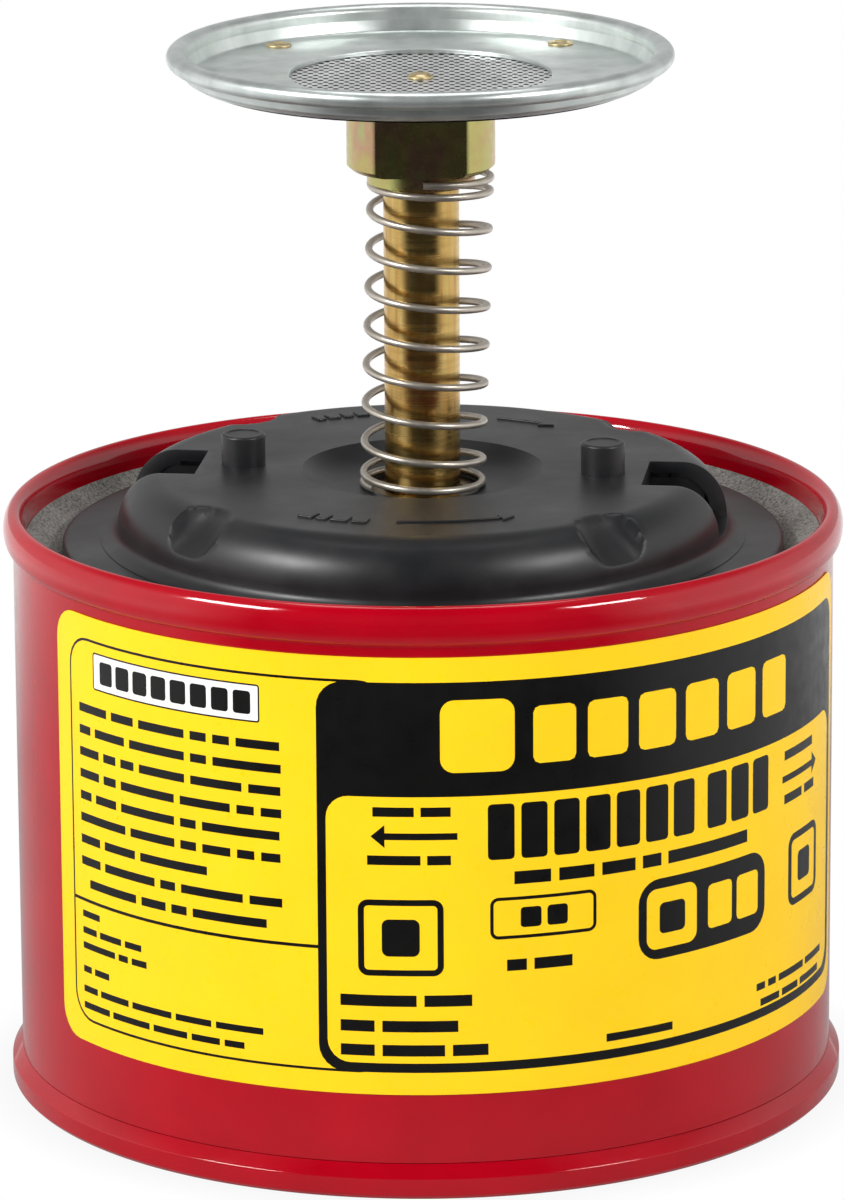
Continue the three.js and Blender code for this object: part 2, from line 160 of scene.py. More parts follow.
def revolved(outline, steps=192, flat=None):
    """An outline in radius and height, turned about Z. flat keeps |y| within a distance."""
    closed = all(r > 1e-6 for r, _ in outline)
    angles = np.arange(steps) * 2 * math.pi / steps
    points, rings = [], []
    for r, z in outline:
        if r < 1e-6:
            rings.append([len(points)])
            points.append((0.0, 0.0, z))
            continue
        rings.append(list(range(len(points), len(points) + steps)))
        for a in angles:
            radius = r
            if flat and abs(r * math.sin(a)) > flat:
                radius = flat / abs(math.sin(a))
            points.append((radius * math.cos(a), radius * math.sin(a), z))
    faces = []
    pairs = list(zip(rings, rings[1:] + rings[:1])) if closed else list(zip(rings, rings[1:]))
    for low, high in pairs:
        for i in range(steps):
            j = (i + 1) % steps
            if len(low) == 1 and len(high) == 1:
                continue
            if len(low) == 1:
                faces.append([low[0], high[j], high[i]])
            elif len(high) == 1:
                faces.append([low[i], low[j], high[0]])
            else:
                faces.append([low[i], low[j], high[j], high[i]])
    return facing_out(points, faces)


def facing_out(points, faces):
    """Turns every face over when the closed shape's volume comes out negative."""
    p = np.array(points, float)
    volume = 0.0
    for face in faces:
        a = p[face[0]]
        for i in range(1, len(face) - 1):
            volume += float(np.dot(a, np.cross(p[face[i]], p[face[i + 1]])))
    if volume < 0:
        faces = [face[::-1] for face in faces]
    return points, faces


def ring_block(inner, outer, start, end, bottom, top, steps):
    """A block bent round the axis, between two angles in radians."""
    angles = np.linspace(start, end, steps + 1)
    points = []
    for a in angles:
        c, s = math.cos(a), math.sin(a)
        for r, z in ((inner, bottom), (outer, bottom), (outer, top), (inner, top)):
            points.append((r * c, r * s, z))
    faces = [[0, 1, 2, 3], [4 * steps + i for i in (3, 2, 1, 0)]]
    for k in range(steps):
        for i in range(4):
            j = (i + 1) % 4
            faces.append([4 * k + i, 4 * k + 4 + i, 4 * k + 4 + j, 4 * k + j])
    return facing_out(points, faces)


def box_block(x0, x1, y0, y1, z0, z1):
    """A box between two corners."""
    points = [(x, y, z) for z in (z0, z1) for x, y in ((x0, y0), (x1, y0), (x1, y1), (x0, y1))]
    sides = [[i, (i + 1) % 4, (i + 1) % 4 + 4, i + 4] for i in range(4)]
    return points, [[3, 2, 1, 0], [4, 5, 6, 7], *sides]


def swept(path, radius, sides=14):
    """A round wire along a path, with flat ends. Its frame is carried along without twist."""
    path = [Vector(p) for p in path]
    tangents = []
    for i in range(len(path)):
        ahead = path[min(i + 1, len(path) - 1)] - path[max(i - 1, 0)]
        tangents.append(ahead.normalized())
    side = tangents[0].orthogonal().normalized()
    points = []
    for place, tangent in zip(path, tangents):
        side = (side - tangent * side.dot(tangent)).normalized()
        other = tangent.cross(side)
        for k in range(sides):
            a = 2 * math.pi * k / sides
            points.append(tuple(place + radius * (math.cos(a) * side + math.sin(a) * other)))
    faces = []
    for i in range(len(path) - 1):
        for k in range(sides):
            j = (k + 1) % sides
            faces.append([i * sides + k, i * sides + j, (i + 1) * sides + j, (i + 1) * sides + k])
    last = (len(path) - 1) * sides
    faces.append(list(range(sides))[::-1])
    faces.append([last + k for k in range(sides)])
    return facing_out(points, faces)


def smoothstep(low, high, value):
    """0 at low and 1 at high, with a soft start and end."""
    t = np.clip((value - low) / (high - low), 0.0, 1.0)
    return t * t * (3 - 2 * t)


# Materials ----------------------------------------------------------------------------------------


class Nodes:
    """Short calls for the nodes of one tree."""

    def __init__(self, tree):
        self.tree = tree

    def node(self, kind, inputs=None, **properties):
        """A new node. An input that is given a socket is linked to it, and any other is set."""
        made = self.tree.nodes.new(kind)
        for key, value in properties.items():
            setattr(made, key, value)
        for key, value in (inputs or {}).items():
            if isinstance(value, bpy.types.NodeSocket):
                self.tree.links.new(value, made.inputs[key])
            else:
                made.inputs[key].default_value = value
        return made

    def calculate(self, operation, *values):
        """The result of one Math node."""
        return self.node("ShaderNodeMath", dict(enumerate(values)), operation=operation).outputs[0]

    def mix(self, share, low, high):
        """The number low where share is 0 and high where it is 1."""
        return self.node("ShaderNodeMix", {0: share, 2: low, 3: high}).outputs[0]

    def spread(self, value, low, high, source=(0.3, 0.7)):
        """A value stretched from a source range to low..high, held inside it."""
        inputs = {"Value": value, 1: source[0], 2: source[1], 3: low, 4: high}
        return self.node("ShaderNodeMapRange", inputs).outputs[0]

    def ramp(self, value, stops):
        """A value through a colour ramp of (position, colour) stops, where one number is a grey."""
        made = self.node("ShaderNodeValToRGB", {"Fac": value})
        elements = made.color_ramp.elements
        while len(elements) < len(stops):
            elements.new(0.5)
        for element, (position, color) in zip(elements, stops):
            element.position = position
            element.color = (*(color if isinstance(color, tuple) else (color,) * 3), 1.0)
        return made.outputs["Color"]

    def bearing(self, direction):
        """How far a direction points to the front, from 1 straight ahead to -1 behind the can."""
        parts = self.node("ShaderNodeSeparateXYZ", {0: direction}).outputs
        flat = self.node("ShaderNodeCombineXYZ", {"X": parts["X"], "Y": parts["Y"]}).outputs[0]
        unit = self.node("ShaderNodeVectorMath", {0: flat}, operation="NORMALIZE").outputs[0]
        front = {0: unit, 1: (0.0, -1.0, 0.0)}
        return self.node("ShaderNodeVectorMath", front, operation="DOT_PRODUCT").outputs["Value"]


class Surface(Nodes):
    """A Principled material. Its places are object coordinates, in metres."""

    def __init__(self, name, color, roughness, **sockets):
        self.material = bpy.data.materials.new(name)
        self.material.use_nodes = True
        super().__init__(self.material.node_tree)
        self.shader = self.tree.nodes["Principled BSDF"]
        self.shader.inputs["Base Color"].default_value = (*color, 1.0)
        self.shader.inputs["Roughness"].default_value = roughness
        for socket, value in sockets.items():
            self.shader.inputs[socket.replace("_", " ")].default_value = value
        self.place = self.node("ShaderNodeTexCoord").outputs["Object"]

    def noise(self, size, detail=3.0, stretch=(1.0, 1.0, 1.0), place=None, rough=0.5):
        """Noise whose features are about size millimetres across, times stretch along each axis."""
        scale = [1.0 / s for s in stretch]
        mapped = self.node("ShaderNodeMapping", {"Vector": place or self.place, "Scale": scale})
        inputs = {
            "Vector": mapped.outputs[0], "Scale": 1.0 / (size * MM), "Detail": detail, "Roughness": rough,
        }
        return self.node("ShaderNodeTexNoise", inputs).outputs["Fac"]

    def turning(self):
        """Coordinates that change across the axis and along it but not round it: radius, 0, z."""
        parts = self.node("ShaderNodeSeparateXYZ", {0: self.place}).outputs
        squares = [self.calculate("MULTIPLY", p, p) for p in (parts["X"], parts["Y"])]
        radius = self.calculate("SQRT", self.calculate("ADD", *squares))
        return self.node("ShaderNodeCombineXYZ", {"X": radius, "Z": parts["Z"]}).outputs[0]

    def set(self, socket, value):
        self.tree.links.new(value, self.shader.inputs[socket])

    def bump(self, heights):
        """Bumps on each other, as (value, height in millimetres) pairs."""
        normal = None
        for value, height in heights:
            inputs = {"Height": value, "Distance": height * MM, "Strength": 1.0}
            if normal:
                inputs["Normal"] = normal
            normal = self.node("ShaderNodeBump", inputs).outputs["Normal"]
        self.set("Normal", normal)


def red_paint():
    """Glossy baked enamel, slightly wavy."""
    s = Surface("red_enamel", (0.38, 0.0, 0.008), 0.12)
    tint = s.noise(14, 2)
    s.set("Base Color", s.ramp(tint, [(0.3, (0.35, 0.0, 0.007)), (0.7, (0.41, 0.0, 0.009))]))
    s.set("Roughness", s.spread(s.noise(3, 4), 0.06, 0.11))
    s.bump([(s.noise(2.2, 2), 0.006), (s.noise(26, 1), 0.05)])
    return s.material


def galvanised():
    """Smooth zinc plate with fine drawing marks round the axis."""
    s = Surface("zinc_plate", (0.60, 0.64, 0.63), 0.34, Metallic=0.85)
    turning = s.turning()
    clouds = s.noise(5, 4, stretch=(1.0, 1.0, 2.0), rough=0.55)
    s.set("Base Color", s.ramp(clouds, [(0.3, (0.52, 0.57, 0.55)), (0.7, (0.74, 0.78, 0.76))]))
    s.set("Roughness", s.spread(s.noise(3, 3), 0.31, 0.38))
    s.bump([(s.noise(0.4, 2, place=turning), 0.004), (s.noise(2.5, 2), 0.002)])
    return s.material


def head_zinc():
    """Rough, darkly speckled zinc of the can's head."""
    s = Surface("rough_zinc", (0.3, 0.29, 0.27), 0.6, Metallic=0.4)
    specks = s.noise(0.45, 4, rough=0.7)
    clouds = s.noise(7, 3)
    dark = s.ramp(specks, [(0.38, (0.35, 0.33, 0.30)), (0.56, 1.0)])
    base = s.ramp(clouds, [(0.3, (0.24, 0.23, 0.21)), (0.7, (0.37, 0.36, 0.34))])
    mixed = s.node("ShaderNodeMix", {0: 1.0, 6: base, 7: dark}, data_type="RGBA", blend_type="MULTIPLY")
    s.set("Base Color", mixed.outputs[2])
    s.set("Roughness", s.spread(specks, 0.7, 0.42))
    s.bump([(specks, 0.03)])
    return s.material


def black_plastic():
    """Satin moulded plastic with a fine grain and faint scuffs."""
    s = Surface("moulded_black", (0.012, 0.0125, 0.014), 0.38)
    scuffs = s.noise(16, 5, rough=0.65)
    s.set("Base Color", s.ramp(scuffs, [(0.35, (0.009, 0.0095, 0.011)), (0.75, (0.020, 0.020, 0.021))]))
    s.set("Roughness", s.spread(scuffs, 0.32, 0.46))
    s.bump([(s.noise(0.5, 3), 0.008), (s.noise(7, 3), 0.02)])
    return s.material


def brass_turned(name, shade):
    """Turned brass, its colour scaled by shade: fine rings across the axis and streaks along it."""
    s = Surface(name, tuple(shade * c for c in (0.55, 0.36, 0.14)), 0.26, Metallic=1.0)
    turning = s.turning()
    streaks = s.noise(1.1, 4, stretch=(1.0, 1.0, 12.0), rough=0.6)
    colors = [(0.25, (0.40, 0.21, 0.06)), (0.42, (0.56, 0.35, 0.11)), (0.58, (0.58, 0.41, 0.14)),
              (0.78, (0.74, 0.53, 0.22))]
    s.set("Base Color", s.ramp(streaks, [(at, tuple(shade * c for c in color)) for at, color in colors]))
    s.set("Roughness", s.spread(s.noise(0.8, 4, place=turning), 0.17, 0.34))
    s.bump([(s.noise(0.22, 2, place=turning), 0.008)])
    return s.material


def spring_steel():
    """Drawn wire, warm grey."""
    s = Surface("spring_wire", (0.6, 0.55, 0.48), 0.38, Metallic=0.85)
    patches = s.noise(4.0, 2)
    s.set("Base Color", s.ramp(patches, [(0.3, (0.46, 0.42, 0.36)), (0.7, (0.60, 0.55, 0.48))]))
    s.set("Roughness", s.spread(s.noise(1.2, 2), 0.32, 0.44))
    s.bump([(s.noise(0.3, 1), 0.002)])
    return s.material


def chromate():
    """Zinc plate with yellow chromate, which drifts from green to pink."""
    s = Surface("yellow_chromate", (0.5, 0.46, 0.2), 0.3, Metallic=1.0)
    turning = s.turning()
    film = s.noise(6, 4, stretch=(1.0, 1.0, 1.8), rough=0.6)
    colors = [(0.32, (0.46, 0.47, 0.17)), (0.48, (0.50, 0.42, 0.16)), (0.62, (0.52, 0.31, 0.20)),
              (0.74, (0.42, 0.45, 0.20))]
    s.set("Base Color", s.ramp(film, colors))
    s.set("Roughness", s.spread(s.noise(2, 4), 0.20, 0.36))
    s.bump([(s.noise(0.25, 2, place=turning), 0.006), (s.noise(1.5, 4), 0.006)])
    return s.material


def plain_steel(name, shade):
    """Plain steel of one brightness."""
    s = Surface(name, (shade,) * 3, 0.4, Metallic=0.9)
    s.set("Base Color", s.ramp(s.noise(5, 3), [(0.3, 0.85 * shade), (0.7, 1.1 * shade)]))
    s.set("Roughness", s.spread(s.noise(1.5, 4), 0.34, 0.5))
    s.bump([(s.noise(0.4, 2), 0.005)])
    return s.material


def fastener_brass():
    """Dull brass of the screw and the rivets."""
    s = Surface("fastener_brass", (0.60, 0.45, 0.27), 0.42, Metallic=0.9)
    patches = s.noise(0.9, 3)
    s.set("Base Color", s.ramp(patches, [(0.35, (0.42, 0.36, 0.18)), (0.65, (0.66, 0.52, 0.30))]))
    s.set("Roughness", s.spread(s.noise(0.8, 3), 0.34, 0.5))
    s.bump([(s.noise(0.5, 3), 0.02)])
    return s.material


def rubber():
    """Matt nitrile rubber."""
    s = Surface("nitrile_rubber", (0.02, 0.02, 0.02), 0.7)
    s.set("Roughness", s.spread(s.noise(2, 3), 0.6, 0.8))
    s.bump([(s.noise(0.6, 3), 0.02)])
    return s.material


def printed_vinyl(name, light, dark):
    """Vinyl printed in one ink, slightly uneven."""
    s = Surface(name, light, 0.3, Specular_IOR_Level=0.3)
    s.set("Base Color", s.ramp(s.noise(11, 3), [(0.3, dark), (0.7, light)]))
    s.set("Roughness", s.spread(s.noise(2.5, 3), 0.26, 0.4))
    s.bump([(s.noise(1.2, 2), 0.003), (s.noise(18, 1), 0.03)])
    return s.material


RED = red_paint()
ZINC = galvanised()
HEAD_ZINC = head_zinc()
BLACK = black_plastic()
BRASS = brass_turned("turned_brass", 1.0)
# The same brass at 0.35 of its colour, for the guide bush in the lid's bore.
DARKENED_BRASS = brass_turned("darkened_brass", 0.35)
SPRING = spring_steel()
CHROMATE = chromate()
FASTENER = fastener_brass()
STEEL = plain_steel("bright_steel", 0.8)
# The same steel painted nearly black: painted shade for the sides of the screen's holes.
HOLE_PAINTED_SHADE = plain_steel("hole_painted_shade", 0.03)
RUBBER = rubber()
YELLOW_INK = printed_vinyl("yellow_ink", (1.0, 0.63, 0.0), (1.0, 0.60, 0.0))
BLACK_INK = printed_vinyl("black_ink", (0.006, 0.006, 0.006), (0.004, 0.004, 0.004))
WHITE_INK = printed_vinyl("white_ink", (0.86, 0.86, 0.84), (0.82, 0.82, 0.80))


# The can ------------------------------------------------------------------------------------------


def can_shell():
    """Rolled wall that ends in a rolled rim."""
    inner, bottom = 59.4, 5.1
    wall = [(inner, bottom), (CAN_RADIUS, bottom), (CAN_RADIUS, 81.1)]
    bead = ellipse_arc((60.4, 84.3), 1.6, 2.9, -78, 180, 28)
    outline = [*wall, *bead, (58.8, 82.0), (inner, 81.2)]
    piece("can_wall", revolved(outline), "can", RED, ["can_shell"])


def can_bottom():
    """Floor of the can and the double seam round it, on which the can stands."""
    inner, outer = 58.9, 62.15
    floor, top = 4.0, 5.0
    outline = rounded([
        (0, floor - SHEET), (inner, floor - SHEET, 0.4), (inner, 0.7, 0.3), (60.0, 0, 0.3), (61.45, 0, 0.4),
        (outer, 0.7, 0.5), (outer, 3.2, 0.3), (CAN_RADIUS + 0.02, top, 0.06), (inner, top),
        (inner, floor, 0.5), (0, floor),
    ])
    piece("can_foot", revolved(outline), "can", RED, ["can_bottom"])


def can_head():
    """Recessed head with the filling neck, and the two tabs that hold the lid's lugs down."""
    shelf, edge = 79.0, 58.75
    inner, outer, neck_top = 28.3, 30.5, 85.5
    outline = rounded([
        (inner, shelf - SHEET), (53.6, shelf - SHEET, 0.6), (58.0, 81.0, 0.6), (edge, 81.2), (edge, 82.8),
        (58.1, 82.0, 1.0), (54.2, 79.8, 1.6), (52.8, shelf, 1.0), (outer, shelf, 0.8),
        (outer, neck_top, 0.5), (inner, neck_top, 0.5),
    ])
    far, near = math.radians(59), math.radians(13)
    lugs = [LID_TURN, LID_TURN + math.pi]
    tabs = [ring_block(29.4, 39.5, lug - far, lug - near, 82.4, 84.0, 16) for lug in lugs]
    piece("can_head_plate", merged(revolved(outline), *tabs), "can", HEAD_ZINC, ["can_head"])


# The printed sheet --------------------------------------------------------------------------------

YELLOW, BLACK_PRINT, WHITE = range(3)


class Print:
    """Flat artwork in layers, the later over the earlier, in arc and height from the can's front."""

    def __init__(self):
        self.layers = []

    def shape(self, points, ink):
        self.layers.append(([(float(x), float(y)) for x, y in points], ink))

    def bar(self, left, right, bottom, top, ink, radius=0.0, steps=6):
        corners = [(left, bottom), (right, bottom), (right, top), (left, top)]
        if radius:
            corners = rounded([(*c, radius) for c in corners], steps)
        self.shape(corners, ink)

    def words(self, left, right, middle, height, ink, draw, letter=1.9):
        """A line of plain blocks where words would be."""
        x = left
        while right - x > letter:
            width = min(letter * draw.randint(2, 6), right - x)
            if right - x - width < 2 * letter:
                width = right - x
            self.bar(x, x + width - 0.55 * letter, middle - height / 2, middle + height / 2, ink)
            x += width

    def letters(self, left, right, bottom, top, count, ink, fill=0.78):
        """A row of equal blocks where big letters would be."""
        pitch = (right - left) / (count - 1 + fill)
        for i in range(count):
            x = left + i * pitch
            self.bar(x, x + fill * pitch, bottom, top, ink, 0.12 * pitch, 2)

    def frame(self, left, right, bottom, top, radius, stroke, ink, inside):
        """A bar in one ink with a smaller one inside it in another, which leaves a stroke."""
        self.bar(left, right, bottom, top, ink, radius)
        s = stroke
        self.bar(left + s, right - s, bottom + s, top - s, inside, max(radius - s, 0.1))

    def arrow(self, tail, tip, middle, ink):
        """A plain arrow from its tail to its tip."""
        way = 1 if tip > tail else -1
        back = tip - 2.0 * way
        points = [(tail, middle - 0.5), (back, middle - 0.5), (back, middle - 1.7), (tip, middle),
                  (back, middle + 1.7), (back, middle + 0.5), (tail, middle + 0.5)]
        self.shape(points if way > 0 else points[::-1], ink)

    def faces(self, column):
        """Triangles of the artwork and each one's ink, cut into columns for bending."""
        points, loops = [], []
        for outline, _ in self.layers:
            start = len(points)
            points += outline
            loops.append(list(range(start, len(points))))
        xs = [x for x, _ in self.layers[0][0]]
        ys = [y for _, y in self.layers[0][0]]
        edges = []
        for x in np.arange(min(xs) + column, max(xs), column):
            edges.append((len(points), len(points) + 1))
            points += [(float(x), min(ys) - 1), (float(x), max(ys) + 1)]
        made = delaunay_2d_cdt([Vector(p) for p in points], edges, loops, 0, 1e-5)
        corners, _, triangles, _, _, owners = made
        kept, inks = [], []
        for triangle, owner in zip(triangles, owners):
            if owner:
                kept.append(list(triangle))
                inks.append(self.layers[max(owner)][1])
        return [tuple(c) for c in corners], kept, inks


def artwork():
    """The printed sheet's layout, with plain blocks in the places of its words and marks."""
    art = Print()
    draw = random.Random(7)
    art.bar(-64.0, 84.8, 15.4, 79.8, YELLOW, 4.5)
    art.frame(-60.4, -5.0, 18.6, 76.5, 4.5, 0.4, BLACK_PRINT, YELLOW)
    art.bar(-60.2, -14.0, 36.75, 37.25, BLACK_PRINT)
    art.frame(-54.4, -23.8, 69.2, 74.8, 0.5, 0.25, BLACK_PRINT, WHITE)
    art.letters(-52.8, -25.2, 70.3, 73.7, 8, BLACK_PRINT)
    rights = [-19.8, -19.6, -19.7, -19.6, -19.9, -19.8, -31.5, -19.6, -22.0]
    for i, right in enumerate(rights):
        left = -56.0 if i == len(rights) - 1 else -58.0
        art.words(left, right, 66.0 - 3.29 * i, 1.3, BLACK_PRINT, draw)
    for z, right in [(34.9, -53), (32.4, -44), (30.1, -43), (26.5, -51), (23.5, -23), (21.0, -26)]:
        art.words(-58.0, right, z, 1.0, BLACK_PRINT, draw, 1.4)

    art.bar(-15.4, 83.1, 18.7, 76.2, BLACK_PRINT, 3.9)
    art.bar(-14.1, 81.4, 20.1, 59.5, YELLOW, 3.3)
    art.bar(2.2, 12.8, 63.0, 73.6, YELLOW, 2.0)
    art.letters(15.5, 62.7, 63.8, 72.2, 6, YELLOW)
    art.letters(8.9, 41.7, 50.0, 58.2, 7, BLACK_PRINT, 0.8)
    art.letters(44.2, 58.0, 50.0, 58.2, 3, BLACK_PRINT, 0.8)
    art.words(12.7, 54.0, 47.2, 1.9, BLACK_PRINT, draw, 2.2)

    art.arrow(4.6, -7.7, 53.7, BLACK_PRINT)
    art.words(-7.4, 4.6, 57.3, 1.4, BLACK_PRINT, draw, 1.7)
    art.words(-8.2, 4.6, 50.2, 1.4, BLACK_PRINT, draw, 1.7)
    art.arrow(62.0, 74.5, 53.2, BLACK_PRINT)
    art.words(62.6, 73.6, 56.7, 1.4, BLACK_PRINT, draw, 1.7)
    art.words(62.6, 74.4, 50.1, 1.4, BLACK_PRINT, draw, 1.7)

    art.frame(-9.6, 2.6, 33.1, 44.4, 1.5, 0.9, BLACK_PRINT, YELLOW)
    art.bar(-6.2, -0.8, 36.0, 41.5, BLACK_PRINT, 1.0)
    art.frame(9.2, 25.0, 38.2, 44.4, 1.2, 0.5, BLACK_PRINT, YELLOW)
    art.letters(13.6, 20.6, 39.8, 42.8, 2, BLACK_PRINT)
    art.words(11.6, 22.4, 34.3, 1.7, BLACK_PRINT, draw, 2.0)
    for z, right in [(29.4, 7.7), (25.6, 5.7), (22.0, 10.0)]:
        art.words(-12.2, right, z, 1.7, BLACK_PRINT, draw, 2.0)
    art.bar(31.8, 57.2, 32.3, 44.3, BLACK_PRINT, 3.5)
    art.bar(33.2, 42.2, 33.8, 42.8, YELLOW, 1.6)
    art.bar(35.4, 40.0, 36.0, 40.6, BLACK_PRINT, 0.8)
    art.letters(44.4, 55.4, 35.0, 41.6, 2, YELLOW, 0.82)
    art.frame(64.0, 75.0, 33.3, 44.3, 2.0, 1.1, BLACK_PRINT, YELLOW)
    art.bar(67.2, 71.8, 36.5, 41.1, BLACK_PRINT, 0.8)
    art.words(55.3, 78.5, 23.5, 1.1, BLACK_PRINT, draw, 1.5)
    art.words(56.3, 77.0, 21.0, 1.1, BLACK_PRINT, draw, 1.5)
    art.words(26.6, 38.8, 21.9, 1.2, BLACK_PRINT, draw, 1.9)
    return art


def label_sheet():
    """The artwork bent round the can, in a sheet of its own thickness."""
    radius = CAN_RADIUS + 0.16
    corners, faces, inks = artwork().faces(column=2.6)
    points = []
    for arc, height in corners:
        angle = arc / radius
        points.append((radius * math.sin(angle), -radius * math.cos(angle), height))
    inkset = [YELLOW_INK, BLACK_INK, WHITE_INK]
    sheet = piece("printed_sheet", (points, faces), "can", inkset, ["label_sheet"])
    sheet.data.polygons.foreach_set("material_index", inks)
    crisp_border(sheet)
    thicken(sheet, 0.12)


# The lid ------------------------------------------------------------------------------------------

LID_TOP = 92.3
LID_THICKNESS = 2.4
LID_BORE = 8.3
LID_TILT = math.radians(0.55)
SEAT, SEAT_RADIUS, DISH_RADIUS = 89.8, 10.0, 17.9
FLAT_EDGE, DOME_RADIUS, DOME_BASE = 38.6, 45.0, 84.6
FLANGE_TOP, FLANGE_RADIUS = 82.6, 53.3
SLOT_INNER, SLOT_HALF, SLOT_FLOOR = 33.0, 7.0, 85.4
SLOT_CORNER = math.hypot(SLOT_INNER, SLOT_HALF)
SCOOP_FIRST = math.radians(46.8)
SCOOP_MIDDLE, SCOOP_HALF_LENGTH, SCOOP_HALF_WIDTH = 44.8, 9.0, 5.9
SCOOP_BLEND = 0.5


def lid_profile():
    """Outside of the lid from the spring's seat to the flange's lower edge, and where the slots start."""
    seat = [(LID_BORE, SEAT), (9.2, SEAT), (SEAT_RADIUS, SEAT)]
    dish = []
    for r in np.linspace(SEAT_RADIUS + 0.4, DISH_RADIUS, 14):
        share = (r - SEAT_RADIUS) / (DISH_RADIUS - SEAT_RADIUS)
        dish.append((r, SEAT + (LID_TOP - SEAT) * share**3))
    inner_flat = [(r, LID_TOP) for r in np.linspace(DISH_RADIUS + 0.5, SLOT_CORNER, 12)]
    outer_flat = [(r, LID_TOP) for r in np.linspace(SLOT_CORNER, FLAT_EDGE, 8)[1:]]
    shoulder = ellipse_arc((FLAT_EDGE, DOME_BASE), DOME_RADIUS - FLAT_EDGE, LID_TOP - DOME_BASE, 86, 5, 30)
    fillet = ellipse_arc((47.8, 84.7), 2.8, 2.05, 188, 268, 9)
    flange = [(r, FLANGE_TOP - 0.04 * (r - 47)) for r in (47.6, 49.2, 50.8, 52.2)]
    edge = ellipse_arc((FLANGE_RADIUS - 0.8, FLANGE_TOP - 0.9), 0.8, 0.7, 84, 0, 6)
    middle = seat + dish + inner_flat
    rim = outer_flat + shoulder + fillet + flange + edge + [(FLANGE_RADIUS, 80.4)]
    return middle + rim, len(middle) - 1


def scooped(x, y, z):
    """Height of the lid's outside after its four thumb scoops are pressed in."""
    for quarter in range(4):
        side = SCOOP_FIRST + quarter * math.pi / 2
        out = x * math.cos(side) + y * math.sin(side)
        across = -x * math.sin(side) + y * math.cos(side)
        along = abs((out - SCOOP_MIDDLE) / SCOOP_HALF_LENGTH)
        reach = along**2.4 + abs(across / SCOOP_HALF_WIDTH) ** 2.4
        floor = LID_TOP - 1.5 - 0.62 * (out - 38.0) + 4.0 * reach**2
        mix = min(max(0.5 + 0.5 * (z - floor) / SCOOP_BLEND, 0.0), 1.0)
        z = z * (1 - mix) + floor * mix - SCOOP_BLEND * mix * (1 - mix)
    return z


def lid_shell():
    """Grid over the lid's outside, bent so that the slots' sides and ends fall on grid lines."""
    profile, slot_row = lid_profile()
    quarter = 96  # steps in a quarter turn
    edge_step = 14  # of them between the middle of a slot and its side
    edge_angle = math.asin(SLOT_HALF / SLOT_CORNER)
    blend_end = math.radians(40)  # the grid is bent up to this angle from a slot's middle
    steps = 4 * quarter
    base = []
    for k in range(quarter + 1):
        if k <= edge_step:
            base.append(edge_angle * k / edge_step)
        else:
            share = (k - edge_step) / (quarter - edge_step)
            base.append(edge_angle + (math.pi / 2 - edge_angle) * share)
    angles = np.array(base[:-1] + [math.pi - a for a in base[:0:-1]])
    angles = np.concatenate([angles, angles + math.pi])
    points = []
    for r, z in profile:
        side = math.asin(SLOT_HALF / max(r, SLOT_CORNER))
        straight = float(smoothstep(26.0, SLOT_CORNER, r) * smoothstep(DOME_RADIUS, FLAT_EDGE, r))
        for a in angles:
            folded = abs((a + math.pi / 2) % math.pi - math.pi / 2)
            target = float(np.interp(folded, [0, edge_angle, blend_end, math.pi / 2],
                                     [0, side, blend_end, math.pi / 2]))
            turned = a + (target - folded) * (1 if (a % math.pi) < math.pi / 2 else -1)
            chord = math.cos(edge_angle) / math.cos(folded) if folded < edge_angle else 1.0
            bent = r * (1 - straight * (1 - chord))
            x, y = bent * math.cos(turned), bent * math.sin(turned)
            points.append((x, y, scooped(x, y, z)))
    faces = []
    foot_row = next(i for i, (_, z) in enumerate(profile) if z < SLOT_FLOOR) + 1
    for row in range(len(profile) - 1):
        for k in range(steps):
            middle = (k + 0.5) % (2 * quarter)
            near_side = min(middle, 2 * quarter - middle)
            if slot_row <= row < foot_row and near_side < edge_step:
                continue
            j = (k + 1) % steps
            faces.append([row * steps + k, (row + 1) * steps + k, (row + 1) * steps + j, row * steps + j])
    return points, faces


def raised_marks():
    """Plain raised bars and a long arrow, at the front and at the back of the lid's flat top."""
    low, high = LID_TOP - 0.2, LID_TOP + 0.32
    bar_half, stroke_half, head_half = 1.25, 0.25, 1.4
    marks = []
    rows = [(-116.0, 32.0, (4.2, 3.0, 4.6, 4.0)), (111.0, 34.0, (3.4, 2.6, 3.2, 2.4))]
    for start, radius, widths in rows:
        for width in widths:
            ends = math.radians(start), math.radians(start + width)
            marks.append(ring_block(radius - bar_half, radius + bar_half, *ends, low, high, 5))
            start += width + 1.0
    for tail, tip, radius in [(-90.0, -58.5, 31.8), (76.0, 58.0, 31.6)]:
        way = math.copysign(1.0, tip - tail)
        neck = math.radians(tip - 4.0 * way)
        ends = sorted((math.radians(tail), neck))
        marks.append(ring_block(radius - stroke_half, radius + stroke_half, *ends, low, high, 20))
        head = [(radius + head_half, neck), (radius - head_half, neck), (radius, math.radians(tip))]
        corners = [(r * math.cos(a), r * math.sin(a)) for r, a in head]
        points = [(x, y, z) for z in (low, high) for x, y in corners]
        marks.append(facing_out(points, [[2, 1, 0], [3, 4, 5], [0, 1, 4, 3], [1, 2, 5, 4], [2, 0, 3, 5]]))
    return merged(*marks)


def lid_posts():
    """Two round posts with a shallow dimple on top."""
    radius, top, dimple = 3.25, 96.9, 96.75
    outline = rounded([
        (0, LID_TOP - 1), (radius, LID_TOP - 1), (radius, top, 0.45), (2.5, top, 0.2), (2.3, dimple, 0.2),
        (0, dimple),
    ])
    return [moved(revolved(outline, 64), Matrix.Translation((x, 0, 0))) for x in (-26.7, 26.7)]


def pump_boss():
    """Socket under the lid that the pump's barrel is screwed into."""
    inner, outer = BARREL_RADIUS + 0.3, 15.5
    bottom, socket, top = 76.8, 85.0, 88.8
    outline = rounded([
        (inner, bottom), (outer, bottom, 0.6), (outer, top), (LID_BORE, top), (LID_BORE, socket),
        (inner, socket),
    ])
    return revolved(outline, 96)


